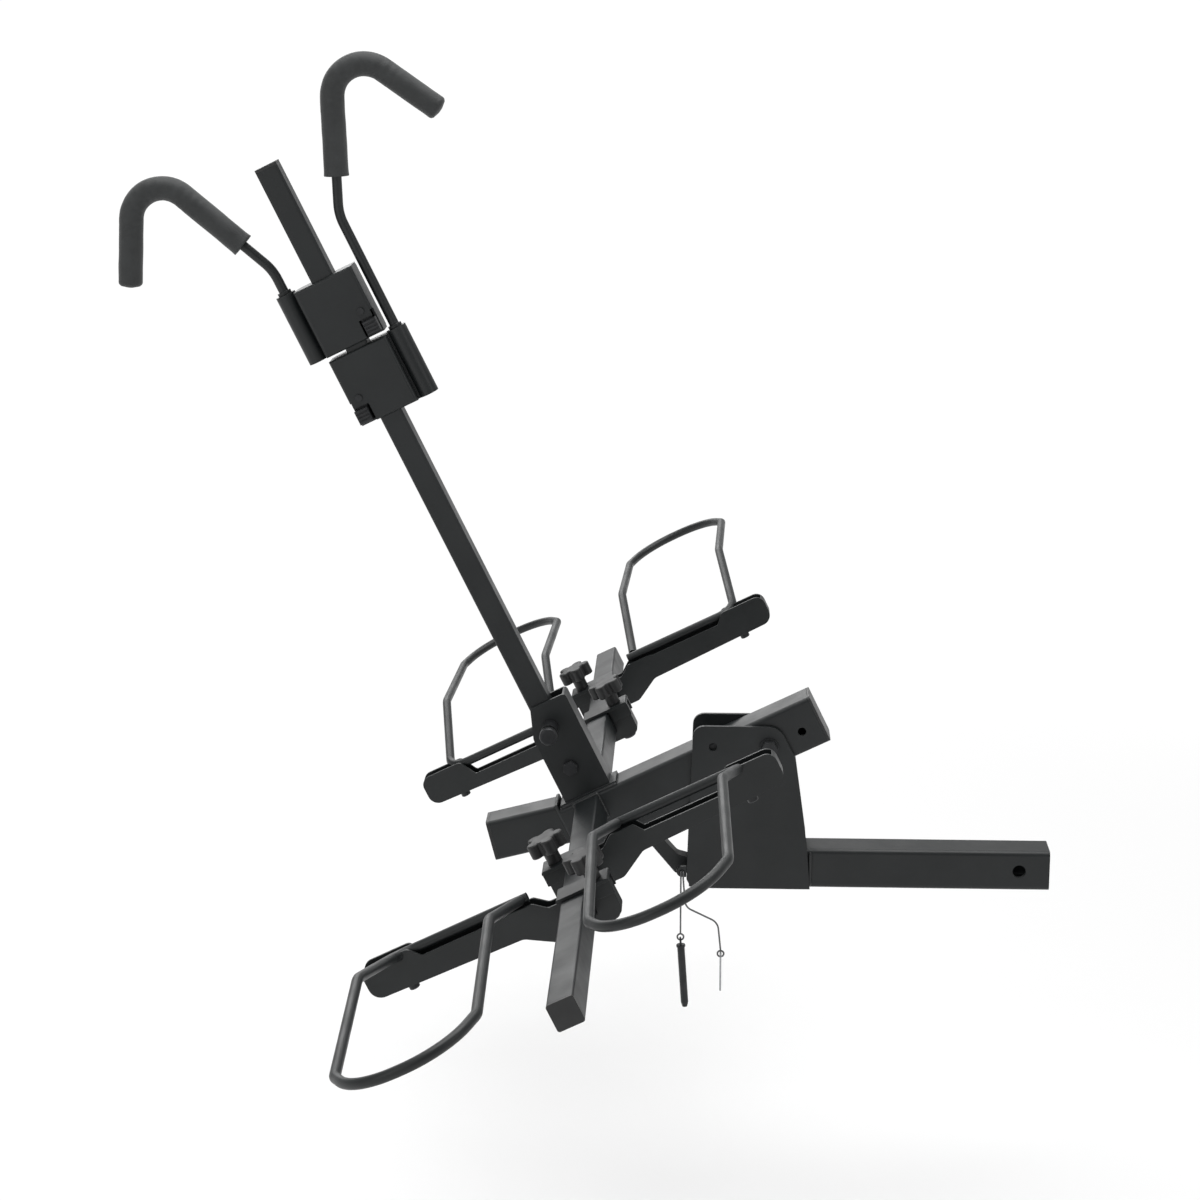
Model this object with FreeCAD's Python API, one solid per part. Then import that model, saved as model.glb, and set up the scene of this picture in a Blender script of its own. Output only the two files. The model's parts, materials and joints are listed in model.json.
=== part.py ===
import FreeCAD, Part
import math
import os

# Two-bike hitch rack: a shank and upright, an arm that tilts on the upright, a cross-tube with four
# sliding wheel holders, and a folding mast with two sliding hooks.
# Millimetres. +X towards the vehicle, +Y across it, +Z up. Origin: centre of the hitch pin bore.
# The rack is modelled tilted away from the vehicle. Deck parts are drawn in the deck's own frame:
# u runs along the arm towards the vehicle, w square to it and upwards, origin at the cross-tube centre.

Vector = FreeCAD.Vector

# ---- driving dimensions -------------------------------------------------------------------------
TILT = 26.0                 # arm's slope in degrees, hanging down away from the vehicle
DECK_X = -537.0             # cross-tube centre, from the hitch pin bore
DECK_Z = 74.0
GAP = 0.1                   # gap between pieces that are welded or pressed together

SHANK = 50.8                # 2 in receiver size
SHANK_WALL = 5.0
SHANK_FRONT = 38.0
SHANK_REAR = -408.9
HITCH_BORE_R = 8.25         # for a 5/8 in hitch pin

PLATE = 5.0                 # upright side plates
PLATE_INNER = SHANK / 2 + 0.05
PLATE_OUTER = PLATE_INNER + PLATE
UPRIGHT_TOP = 187.0
WEB_TOP = 80.0
LOCK_HOLE_R = 5.25
LOCK_PIN_R = 4.75

ARM_W = 50.0                # arm, across
ARM_LOW = -46.0             # arm's underside and top, in w
ARM_HIGH = 17.0
ARM_WALL = 3.0
ARM_START = -38.0           # arm's ends, in u
ARM_END = 306.0
PIVOT_U = 237.0             # tilt pivot in the arm
PIVOT_W = -19.6
PIVOT_R = 6.0
LEVEL_LOCK = -70.0          # lock holes along the arm, from the pivot
FOLD_LOCK = 45.0

STUB_W = 46.0               # outer stub tube
STUB_H = 52.0
STUB_WALL = 3.0
STUB_KICK = 11.6            # it rises from the arm's line by this angle
STUB_OUTER = -129.6
STUB_ROOT_W = -3.8          # its centre line where it leaves the arm

CROSS = 31.8                # cross-tube
CROSS_WALL = 2.5
CROSS_HALF = 680.0

MAST = 28.6
MAST_WALL = 2.0
MAST_FOOT = 36.0
MAST_TOP = 886.0
MAST_PIVOT_W = 60.0
MAST_PIVOT_R = 5.0
PLUNGER_W = 118.0
PLUNGER_R = 4.0
BRACKET_WALL = 4.0
BRACKET_INNER = 14.6
BRACKET_TOP = 150.0

TRAY_HALF = 12.0            # wheel tray channel, half width
TRAY_SHEET = 3.0
TRAY_LOW = -8.0
TRAY_LIP = -3.0             # underside at the outer end
TRAY_EAR = 26.0
TRAY_MID = 14.0             # top of the side between the ears: low on one hand, nearly up to the hoop
TRAY_MID_HIGH = 24.0        # on the other
TRAY_TIP = 38.0             # top of the outer end, beside the hoop's run
TRAY_END = 263.0
TAIL_END = -44.0            # the tray's tail past the cross-tube
TAIL_LOW = -28.0
TAIL_HIGH = 14.0
CLAMP_U = -28.0             # clamp bolt, beside the cross-tube
STUD_U = 216.0              # strap stud under the tray's outer end
HOOP_R = 6.0
HOOP_IN = 59.0              # hoop legs, in u
HOOP_OUT = 218.5
HOOP_BEND = (181.0, 82.0)   # where a leg levels off: outwards, and w
HOOP_CORNER = (417.0, 70.0)
HOOP_END = 478.0            # outermost line of the hoop, outwards
HOOP_SLANT = 29.0           # how far the bar has come in from a leg where it reaches that line
# wheel holder: name, place on the cross-tube, side of the arm, way the hoop points
HOLDERS = (("outer_right", -360.0, -1, -1), ("inner_right", -235.0, 1, -1),
           ("outer_left", 350.0, -1, 1), ("inner_left", 510.0, 1, 1))

BLOCK_H = 88.0              # clamp blocks on the mast
BLOCK_NEAR = 39.0           # far edge of the box from the mast's centre, away from the rod
BLOCK_HALF_Y = 20.0
BLOCK_WALL = 3.0
SOCKET_R = 12.5             # round socket for the hook rod
SOCKET_U = 51.5
ROD_R = 6.0
FOAM_R = 15.0
HOOK_R = 39.0               # bend of the hook
HOOK_LEG = 138.0
HOOK_TAIL = 79.0
HOOK_LEAN = 24.0
TAIL_LEAN = 29.0
FOAM_START = 46.0
# block: name, bottom in w, side of the hook, height where its rod bends
BLOCKS = (("upper", 652.0, -1, 775.0), ("lower", 558.5, 1, 800.0))


# ---- frames and basic shapes --------------------------------------------------------------------
def in_deck(shape):
    """Places a shape drawn in deck axes (u, y, w)."""
    turn = FreeCAD.Rotation(Vector(0, 1, 0), -TILT)
    placed = shape.copy()
    placed.Placement = FreeCAD.Placement(Vector(DECK_X, 0, DECK_Z), turn).multiply(placed.Placement)
    return placed


def deck_point(u, w):
    """World x and z of a deck point."""
    slope = math.radians(TILT)
    x = DECK_X + u * math.cos(slope) - w * math.sin(slope)
    z = DECK_Z + u * math.sin(slope) + w * math.cos(slope)
    return x, z


def box(x, y, z):
    """Box from three (low, high) pairs."""
    return Part.makeBox(x[1] - x[0], y[1] - y[0], z[1] - z[0], Vector(x[0], y[0], z[0]))


def cylinder_y(radius, x, z, y):
    return Part.makeCylinder(radius, y[1] - y[0], Vector(x, y[0], z), Vector(0, 1, 0))


def cylinder_z(radius, x, y, z):
    return Part.makeCylinder(radius, z[1] - z[0], Vector(x, y, z[0]), Vector(0, 0, 1))


def hexagon_y(across_flats, x, z, seat, height):
    """Bolt head or nut along Y from its seat, its corners chamfered at 30 degrees; height is signed."""
    corner = across_flats / math.sqrt(3)
    ring = [Vector(x + corner * math.cos(math.radians(60 * i)), seat,
                   z + corner * math.sin(math.radians(60 * i))) for i in range(6)]
    prism = Part.Face(Part.makePolygon(ring + [ring[0]])).extrude(Vector(0, height, 0))
    spread = abs(height) / math.tan(math.radians(30))
    cone = Part.makeCone(across_flats / 2 + spread, across_flats / 2, abs(height), Vector(x, seat, z),
                         Vector(0, height, 0))
    return prism.common(cone)


def corner_arc(before, corner, after, radius):
    """Arc that rounds a corner: its start, its middle and its end."""
    to_start = (before - corner).normalize()
    to_end = (after - corner).normalize()
    half = to_start.getAngle(to_end) / 2
    reach = radius / math.tan(half)
    inward = (to_start + to_end).normalize()
    middle = corner + inward * (radius / math.sin(half) - radius)
    return corner + to_start * reach, middle, corner + to_end * reach


def rounded_wire(points, radii, closed=False):
    """Wire through points, with each corner rounded by its own radius (0 keeps it sharp)."""
    points = [Vector(*p) for p in points]
    count = len(points)
    ends = []
    for i, corner in enumerate(points):
        if radii[i] > 0 and (closed or 0 < i < count - 1):
            ends.append(corner_arc(points[i - 1], corner, points[(i + 1) % count], radii[i]))
        else:
            ends.append((corner, None, corner))
    edges = []
    for i, (start, middle, end) in enumerate(ends):
        if middle is not None:
            edges.append(Part.Arc(start, middle, end).toShape())
        if i < count - 1 or closed:
            following = ends[(i + 1) % count][0]
            if (following - end).Length > 1e-6:
                edges.append(Part.makeLine(end, following))
    return Part.Wire(edges)


def profile(outline, y):
    """Prism along Y from an outline of (x, z, corner radius)."""
    wire = rounded_wire([(x, y[0], z) for x, z, _ in outline], [r for _, _, r in outline], closed=True)
    return Part.Face(wire).extrude(Vector(0, y[1] - y[0], 0))


def round_bar(points, radii, radius):
    """Round bar bent along a path."""
    path = rounded_wire(points, radii)
    start = Vector(*points[0])
    ring = Part.Wire(Part.makeCircle(radius, start, Vector(*points[1]) - start))
    return path.makePipeShell([ring], True, False)


def box_tube(size_a, size_b, wall, length, corner):
    """Rectangular tube along X from x = 0, size_a across Y and size_b across Z."""
    def bar(a, b, r):
        outline = [(0, -a / 2, -b / 2), (0, a / 2, -b / 2), (0, a / 2, b / 2), (0, -a / 2, b / 2)]
        return Part.Face(rounded_wire(outline, [r] * 4, closed=True)).extrude(Vector(length, 0, 0))
    return bar(size_a, size_b, corner).cut(bar(size_a - 2 * wall, size_b - 2 * wall, corner - wall / 2))


def turned(shape, axis, angle, centre=(0, 0, 0)):
    copy = shape.copy()
    copy.rotate(Vector(*centre), Vector(*axis), angle)
    return copy


def moved(shape, x=0.0, y=0.0, z=0.0):
    copy = shape.copy()
    copy.translate(Vector(x, y, z))
    return copy


def tube_plug(size_a, size_b, wall, thickness, corner):
    """Plastic plug for a tube's end at x = 0: a flange beyond it and a stem inside it."""
    def bar(a, b, r, x):
        outline = [(x[0], -a / 2, -b / 2), (x[0], a / 2, -b / 2), (x[0], a / 2, b / 2), (x[0], -a / 2, b / 2)]
        face = Part.Face(rounded_wire(outline, [r] * 4, closed=True))
        return face.extrude(Vector(x[1] - x[0], 0, 0))
    clear = 2 * wall + 2 * GAP
    stem = bar(size_a - clear, size_b - clear, corner - wall / 2, (-12.0, GAP + 1.0))
    return bar(size_a, size_b, corner, (GAP, GAP + thickness)).fuse(stem).removeSplitter()


# ---- hitch side ---------------------------------------------------------------------------------
PIVOT_X, PIVOT_Z = deck_point(PIVOT_U, PIVOT_W)
WEB_REAR = -414.0
UPRIGHT_REAR = -417.0       # the side plates' edge away from the vehicle
LUG_X = -422.5
LUG_Z = -4.0
LUG_R = 7.0
LUG_HOLE_R = 3.2
LUG_Y = -(PLATE_INNER + PLATE / 2)


def hitch_shank():
    tube = moved(box_tube(SHANK, SHANK, SHANK_WALL, SHANK_FRONT - SHANK_REAR, 6.0), x=SHANK_REAR)
    return tube.cut(cylinder_y(HITCH_BORE_R, 0, 0, (-SHANK, SHANK)))


def upright_plate(side):
    """Side plate; side is -1 on the vehicle's right and 1 on its left."""
    half = SHANK / 2
    outline = [(-411.0, -half, 0), (UPRIGHT_REAR, -14.0, 2), (-410.0, UPRIGHT_TOP, 14), (-303.0, UPRIGHT_TOP, 22),
               (-283.0, 148.0, 12), (-267.0, 36.0, 10), (-262.0, -half, 0)]
    low, high = sorted((side * PLATE_INNER, side * PLATE_OUTER))
    plate = profile(outline, (low, high))
    plate = plate.cut(cylinder_y(PIVOT_R + 0.1, PIVOT_X, PIVOT_Z, (low, high)))
    plate = plate.cut(cylinder_y(LOCK_HOLE_R, PIVOT_X + LEVEL_LOCK, PIVOT_Z, (low, high)))
    return plate.cut(cylinder_y(LOCK_HOLE_R, PIVOT_X, PIVOT_Z - FOLD_LOCK, (low, high)))


def upright_web():
    """Plate that closes the shank's end and ties the side plates together."""
    half = PLATE_INNER - GAP
    return box((WEB_REAR, SHANK_REAR - GAP), (-half, half), (-SHANK / 2, WEB_TOP))


def tether_lug():
    tab = cylinder_y(LUG_R, LUG_X, LUG_Z, (-PLATE_OUTER, -PLATE_INNER))
    height = (LUG_Z - LUG_R, LUG_Z + LUG_R)
    neck = box((LUG_X, UPRIGHT_REAR), (-PLATE_OUTER, -PLATE_INNER), height)
    beyond = box((UPRIGHT_REAR - GAP, LUG_X + 2 * LUG_R), (-PLATE_OUTER, -PLATE_INNER), height)
    hole = cylinder_y(LUG_HOLE_R, LUG_X, LUG_Z, (-PLATE_OUTER, -PLATE_INNER))
    return tab.fuse(neck).removeSplitter().cut(beyond).cut(hole)


WASHER = 2.5


def pivot_fasteners():
    """Tilt pivot bolt, its two washers and its lock nut."""
    head_face = -(PLATE_OUTER + WASHER + GAP)
    seat = PLATE_OUTER + WASHER + GAP
    head = hexagon_y(19.0, PIVOT_X, PIVOT_Z, head_face, -7.5)
    shank = cylinder_y(PIVOT_R, PIVOT_X, PIVOT_Z, (head_face - 1, seat + 15.0))
    pieces = [head.fuse(shank).removeSplitter()]
    for low in (head_face + GAP / 2, PLATE_OUTER + GAP / 2):
        disc = cylinder_y(12.0, PIVOT_X, PIVOT_Z, (low, low + WASHER))
        pieces.append(disc.cut(cylinder_y(PIVOT_R + 0.3, PIVOT_X, PIVOT_Z, (low, low + WASHER))))
    nut = hexagon_y(19.0, PIVOT_X, PIVOT_Z, seat, 10.0)
    collar = cylinder_y(8.6, PIVOT_X, PIVOT_Z, (seat + 9.0, seat + 13.0))
    nut = nut.fuse(collar).removeSplitter()
    pieces.append(nut.cut(cylinder_y(PIVOT_R + 0.05, PIVOT_X, PIVOT_Z, (seat, seat + 13.0))))
    return Part.makeCompound(pieces)


# ---- loose lock pin and clip, hanging from the lug ----------------------------------------------
TETHER_R = 1.1
LINK_R = 5.5                # wire ring through the lug
PIN_LENGTH = 84.0
PIN_LEAN = 4.0
RING_SPREAD = 1.5           # the two rings lie side by side in the lug's hole
PIN_RING_Z = -96.0
CLIP_X = -373.0
CLIP_Z = -118.0


def wire_ring(x, z, radius, wire, axis=(1, 0, 0), y=LUG_Y):
    return Part.makeTorus(radius, wire, Vector(x, y, z), Vector(*axis))


def pin_tether():
    x = LUG_X - RING_SPREAD
    low = LUG_Z - 2 * LINK_R
    ring = wire_ring(x, LUG_Z - LINK_R, LINK_R, TETHER_R)
    cable = round_bar([(x, LUG_Y, low), (x, LUG_Y, PIN_RING_Z + 8.0)], [0, 0], TETHER_R)
    eye = wire_ring(x, PIN_RING_Z + 4.0, 4.0, TETHER_R, (0, 1, 0))
    return ring.fuse([cable, eye]).removeSplitter()


def lock_pin():
    """Straight pin with a wire ring through its head, leaning a little as it hangs."""
    x = LUG_X - RING_SPREAD
    ring = wire_ring(x, PIN_RING_Z - 1.9, 4.6, 1.2)
    top = PIN_RING_Z - 6.0
    pin = cylinder_z(LOCK_PIN_R, x, LUG_Y, (top - PIN_LENGTH + 6.0, top))
    tip = Part.makeCone(3.2, LOCK_PIN_R, 6.0, Vector(x, LUG_Y, top - PIN_LENGTH), Vector(0, 0, 1))
    head = cylinder_z(LOCK_PIN_R + 1.0, x, LUG_Y, (top - 3.0, top))
    pin = pin.fuse([tip, head]).removeSplitter()
    pin = pin.makeFillet(0.8, [e for e in pin.Edges if abs(e.CenterOfMass.z - top) < 0.01])
    return turned(pin.fuse(ring).removeSplitter(), (0, 1, 0), -PIN_LEAN, (x, LUG_Y, PIN_RING_Z))


def clip_tether():
    x = LUG_X + RING_SPREAD
    low = LUG_Z - 2 * LINK_R
    ring = wire_ring(x, LUG_Z - LINK_R, LINK_R, TETHER_R)
    path = [(x, LUG_Y, low), (x + 3.0, LUG_Y, -52.0), (CLIP_X - 4.0, LUG_Y, -72.0), (CLIP_X, LUG_Y, CLIP_Z + 8.0)]
    cable = round_bar(path, [0, 14.0, 16.0, 0], TETHER_R)
    eye = wire_ring(CLIP_X, CLIP_Z + 4.0, 4.0, TETHER_R, (0, 1, 0))
    return ring.fuse([cable, eye]).removeSplitter()


def lock_clip():
    """Hairpin clip: a coil, a straight leg and a waved leg."""
    y = LUG_Y
    top = CLIP_Z + 1.0
    path = [(CLIP_X - 2.2, y, top - 46.0), (CLIP_X - 2.2, y, top - 5.0), (CLIP_X - 7.0, y, top - 1.0),
            (CLIP_X - 5.0, y, top + 4.5), (CLIP_X + 5.0, y, top + 4.5), (CLIP_X + 7.0, y, top - 1.0),
            (CLIP_X + 1.6, y, top - 12.0), (CLIP_X + 6.0, y, top - 22.0), (CLIP_X + 2.4, y, top - 32.0),
            (CLIP_X + 6.0, y, top - 40.0)]
    clip = round_bar(path, [0, 3.0, 3.0, 3.5, 3.5, 3.0, 4.0, 4.0, 4.0, 0], 1.2)
    return turned(clip, (0, 0, 1), 90, (CLIP_X, y, 0))


# ---- arm ----------------------------------------------------------------------------------------
def main_arm():
    """Box tube with its outer end closed, for the stub to be welded on."""
    height = ARM_HIGH - ARM_LOW
    tube = moved(box_tube(ARM_W, height, ARM_WALL, ARM_END - ARM_START, 5.0),
                 x=ARM_START, z=(ARM_HIGH + ARM_LOW) / 2)
    window = CROSS / 2 + 0.2
    through = (-ARM_W, ARM_W)
    tube = tube.cut(box((-window, window), through, (-window, window)))
    end_y = (-ARM_W / 2 + 1.0, ARM_W / 2 - 1.0)
    tube = tube.fuse(box((ARM_START, ARM_START + ARM_WALL), end_y, (ARM_LOW + 1.0, ARM_HIGH - 1.0))).removeSplitter()
    tube = tube.cut(cylinder_y(PIVOT_R + 3.1, PIVOT_U, PIVOT_W, through))
    for shift in (LEVEL_LOCK, FOLD_LOCK):
        tube = tube.cut(cylinder_y(LOCK_HOLE_R, PIVOT_U + shift, PIVOT_W, through))
    return in_deck(tube)


def pivot_sleeve():
    """Steel sleeve in the arm that turns on the pivot bolt."""
    y = (-ARM_W / 2 - 0.2, ARM_W / 2 + 0.2)
    sleeve = cylinder_y(PIVOT_R + 3.0, PIVOT_U, PIVOT_W, y)
    return in_deck(sleeve.cut(cylinder_y(PIVOT_R + 0.05, PIVOT_U, PIVOT_W, y)))


def stub_frame(shape):
    """Places a shape drawn along X into the stub's line; x = 0 is where it leaves the arm."""
    return moved(turned(shape, (0, 1, 0), STUB_KICK), x=ARM_START, z=STUB_ROOT_W)


def outer_stub():
    far = (STUB_OUTER - ARM_START) / math.cos(math.radians(STUB_KICK))
    tube = stub_frame(moved(box_tube(STUB_W, STUB_H, STUB_WALL, 20.0 - far, 5.0), x=far))
    return in_deck(tube.cut(box((ARM_START - GAP, 50.0), (-ARM_W, ARM_W), (-90.0, 90.0))))


def arm_plugs():
    """End plugs of the stub and of the arm."""
    far = (STUB_OUTER - ARM_START) / math.cos(math.radians(STUB_KICK))
    stub = turned(tube_plug(STUB_W, STUB_H, STUB_WALL, 4.0, 5.0), (0, 0, 1), 180)
    stub = stub_frame(moved(stub, x=far))
    arm = tube_plug(ARM_W, ARM_HIGH - ARM_LOW, ARM_WALL, 3.0, 5.0)
    arm = moved(arm, x=ARM_END, z=(ARM_HIGH + ARM_LOW) / 2)
    return Part.makeCompound([in_deck(stub), in_deck(arm)])


def tilt_stop():
    """Bent bar under the arm that rests on the shank's end when the rack is tilted away."""
    top_left = deck_point(38.0, ARM_LOW - GAP)
    top_right = deck_point(54.0, ARM_LOW - GAP)
    face = WEB_REAR - 0.6
    outline = [(top_left[0], top_left[1], 0), (top_right[0], top_right[1], 0), (-429.0, 12.0, 8),
               (face, 8.0, 2), (face, -13.0, 2), (-431.0, -13.0, 6)]
    return profile(outline, (-10.0, 10.0))


def cross_tube():
    tube = turned(box_tube(CROSS, CROSS, CROSS_WALL, 2 * CROSS_HALF, 3.0), (0, 0, 1), 90)
    return in_deck(moved(tube, y=-CROSS_HALF))


def cross_plugs():
    plug = tube_plug(CROSS, CROSS, CROSS_WALL, 4.0, 3.0)
    left = moved(turned(plug, (0, 0, 1), 90), y=CROSS_HALF)
    right = moved(turned(plug, (0, 0, 1), -90), y=-CROSS_HALF)
    return Part.makeCompound([in_deck(left), in_deck(right)])


# ---- mast foot ----------------------------------------------------------------------------------
def mast_bracket():
    """Folded channel welded on the arm, open away from the vehicle so that the mast can fold."""
    outer = BRACKET_INNER + BRACKET_WALL
    base_low = ARM_HIGH + GAP
    floor = base_low + BRACKET_WALL
    outline = [(-26.0, base_low, 0), (36.0, base_low, 0), (36.0, BRACKET_TOP, 5),
               (-12.0, BRACKET_TOP, 6), (-26.0, 112.0, 12)]
    shell = profile(outline, (-outer, outer))
    room = box((-40.0, 36.0 - BRACKET_WALL), (-BRACKET_INNER, BRACKET_INNER), (floor, BRACKET_TOP + 10.0))
    flange = box((-33.0, 44.0), (-outer - 3.0, outer + 3.0), (base_low, floor))
    bracket = shell.cut(room).fuse(flange).removeSplitter()
    bracket = bracket.cut(cylinder_y(MAST_PIVOT_R + 0.1, 0, MAST_PIVOT_W, (-outer, outer)))
    return in_deck(bracket.cut(cylinder_y(PLUNGER_R + 0.2, 0, PLUNGER_W, (-outer, 0))))


def mast_fasteners():
    """Mast pivot bolt and its nut."""
    face = BRACKET_INNER + BRACKET_WALL + GAP
    head = hexagon_y(17.0, 0, MAST_PIVOT_W, -face, -6.4)
    shank = cylinder_y(MAST_PIVOT_R, 0, MAST_PIVOT_W, (-face - 1.0, face + 12.0))
    nut = hexagon_y(17.0, 0, MAST_PIVOT_W, face, 10.0)
    nut = nut.cut(cylinder_y(MAST_PIVOT_R + 0.05, 0, MAST_PIVOT_W, (face, face + 10.0)))
    return Part.makeCompound([in_deck(head.fuse(shank).removeSplitter()), in_deck(nut)])


PLUNGER_REST = -(MAST / 2 + 0.35)       # nose of the plunger, drawn back just clear of the mast
PLUNGER_TRAVEL = 7.5
HOUSING_FACE = -(BRACKET_INNER + BRACKET_WALL + GAP)
HOUSING_END = -42.0
HOUSING_WALL = 2.0


def plunger_housing():
    body = cylinder_y(10.0, 0, PLUNGER_W, (HOUSING_END, HOUSING_FACE))
    room = cylinder_y(7.2, 0, PLUNGER_W, (HOUSING_END + HOUSING_WALL, HOUSING_FACE))
    hole = cylinder_y(PLUNGER_R + 0.1, 0, PLUNGER_W, (HOUSING_END, HOUSING_FACE))
    return in_deck(body.cut(room).cut(hole))


def plunger_pin():
    knob_face = HOUSING_END - PLUNGER_TRAVEL - 0.5
    stem = cylinder_y(PLUNGER_R, 0, PLUNGER_W, (knob_face - 2.0, PLUNGER_REST))
    collar = cylinder_y(7.0, 0, PLUNGER_W, (-31.0, -28.0))
    knob = cylinder_y(11.0, 0, PLUNGER_W, (knob_face - 12.0, knob_face))
    knob = knob.makeFillet(3.0, [e for e in knob.Edges if e.Length > 60.0])
    return in_deck(stem.fuse([collar, knob]).removeSplitter())


def plunger_spring():
    """Return spring, pressed between the plunger's collar and the housing's end."""
    helix = Part.makeHelix(2.2, 7.2, 5.6)
    ring = Part.Wire(Part.makeCircle(0.6, Vector(5.6, 0, 0), Vector(0, 1, 0)))
    coil = Part.Wire(helix).makePipeShell([ring], True, True)
    coil = turned(coil, (1, 0, 0), -90)
    return in_deck(moved(coil, y=HOUSING_END + HOUSING_WALL + 0.8, z=PLUNGER_W))


# ---- mast ---------------------------------------------------------------------------------------
def upright_tube(size, wall, low, high, corner):
    tube = turned(box_tube(size, size, wall, high - low, corner), (0, 1, 0), -90)
    return moved(tube, z=low)


def mast_tube():
    tube = upright_tube(MAST, MAST_WALL, MAST_FOOT, MAST_TOP, 3.0)
    tube = tube.cut(cylinder_y(MAST_PIVOT_R + 3.1, 0, MAST_PIVOT_W, (-MAST, MAST)))
    return in_deck(tube.cut(cylinder_y(PLUNGER_R + 0.2, 0, PLUNGER_W, (-MAST, 0))))


def mast_bush():
    y = (-MAST / 2 - 0.1, MAST / 2 + 0.1)
    bush = cylinder_y(MAST_PIVOT_R + 3.0, 0, MAST_PIVOT_W, y)
    return in_deck(bush.cut(cylinder_y(MAST_PIVOT_R + 0.05, 0, MAST_PIVOT_W, y)))


def mast_cap():
    plug = turned(tube_plug(MAST, MAST, MAST_WALL, 4.0, 3.0), (0, 1, 0), -90)
    return in_deck(moved(plug, z=MAST_TOP))


# ---- clamp blocks and hooks: drawn with the hook towards +u -------------------------------------
COVER = 2.5
LEVER_U = -25.2             # lever's pin, and how the lever fills the block's lower corner
LEVER_W = 34.0
LEVER_HUB = 10.4
LEVER_PIN_R = 2.5
THUMB = ((-38.0, -20.5), (-26.0, -12.0), (3.0, 21.0))
NUT_POCKET = 12.0
NUT_R = 9.5


def to_side(shape, side):
    return shape if side > 0 else shape.mirror(Vector(), Vector(1, 0, 0))


def block_body():
    """Folded sheet box round the mast, open at the back, with the round socket for the hook rod."""
    near_side = BLOCK_NEAR - 0.5
    shell = box((-BLOCK_NEAR, near_side), (-BLOCK_HALF_Y, BLOCK_HALF_Y), (0, BLOCK_H))
    shell = shell.makeFillet(3.5, [e for e in shell.Edges if e.CenterOfMass.y < -BLOCK_HALF_Y + 0.01])
    inner = BLOCK_NEAR - BLOCK_WALL
    room = box((-inner, inner - 0.5), (-BLOCK_HALF_Y + BLOCK_WALL, BLOCK_HALF_Y), (BLOCK_WALL, BLOCK_H - BLOCK_WALL))
    way = MAST / 2 + 0.3
    shell = shell.cut(room).cut(box((-way, way), (-way, way), (-1.0, BLOCK_H + 1.0)))
    notch = box((-BLOCK_NEAR - 1.0, THUMB[0][1] + 3.0), (-BLOCK_HALF_Y - 1.0, THUMB[1][1] + 1.5), (-1.0, 23.5))
    swing = box((-BLOCK_NEAR - 1.0, -inner + 0.5), (-BLOCK_HALF_Y - 1.0, THUMB[1][1] + 1.5), (-1.0, 31.0))
    shell = shell.cut(notch).cut(swing)
    socket = cylinder_z(SOCKET_R, SOCKET_U, 0, (0, BLOCK_H + 2.0))
    rib = box((BLOCK_NEAR - 2.0, SOCKET_U - SOCKET_R + 6.0), (-7.0, 7.0), (0, BLOCK_H))
    body = shell.fuse([socket, rib]).removeSplitter()
    body = body.cut(cylinder_z(NUT_R + 0.4, SOCKET_U, 0, (-1.0, NUT_POCKET)))
    body = body.cut(cylinder_y(LEVER_PIN_R + 0.1, LEVER_U, LEVER_W, (-BLOCK_HALF_Y, 0)))
    return body.cut(cylinder_z(ROD_R + 0.06, SOCKET_U, 0, (0, BLOCK_H + 3.0)))


def block_cover():
    """Back plate, screwed on over the open side."""
    face = BLOCK_HALF_Y + GAP
    plate = box((-BLOCK_NEAR, BLOCK_NEAR - 0.5), (face, face + COVER), (0, BLOCK_H))
    plate = plate.makeFillet(4.0, [e for e in plate.Edges if e.Length < COVER + 0.1])
    return plate.cut(cylinder_y(LEVER_PIN_R + 0.1, LEVER_U, LEVER_W, (face, face + COVER)))


def block_lever():
    """Release lever: a hub beside the mast, and a ribbed thumb piece in the block's corner."""
    hub_y = (-BLOCK_HALF_Y + BLOCK_WALL + 0.5, -4.0)
    hub = cylinder_y(LEVER_HUB, LEVER_U, LEVER_W, hub_y)
    arm = box((LEVER_U - 9.0, LEVER_U + 5.0), (hub_y[0], -12.0), (THUMB[2][1] - 5.0, LEVER_W))
    thumb = box(*THUMB)
    thumb = thumb.makeFillet(2.0, [e for e in thumb.Edges if e.CenterOfMass.y < THUMB[1][0] + 0.01])
    lever = hub.fuse([arm, thumb]).removeSplitter()
    for w in (7.5, 12.0, 16.5):
        groove = Part.makeCylinder(1.0, 30.0, Vector(THUMB[0][0] - 5.0, THUMB[1][0], w), Vector(1, 0, 0))
        lever = lever.cut(groove)
    return lever.cut(cylinder_y(LEVER_PIN_R + 0.05, LEVER_U, LEVER_W, hub_y))


def block_fasteners():
    """Rivet that carries the lever, and the four cover screws."""
    front = -BLOCK_HALF_Y - GAP
    back = BLOCK_HALF_Y + COVER + 2 * GAP
    rivet = cylinder_y(LEVER_PIN_R, LEVER_U, LEVER_W, (front - 1.0, back + 0.5))
    heads = [cylinder_y(4.2, LEVER_U, LEVER_W, (front - 2.2, front)),
             cylinder_y(4.2, LEVER_U, LEVER_W, (back, back + 2.0))]
    pieces = [rivet.fuse(heads).removeSplitter()]
    for x in (-32.0, 31.5):
        for z in (8.0, BLOCK_H - 8.0):
            head = cylinder_y(4.4, x, z, (back, back + 2.6))
            edges = [e for e in head.Edges if abs(e.CenterOfMass.y - back - 2.6) < 0.01]
            pieces.append(head.makeFillet(1.2, edges))
    return pieces


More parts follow.
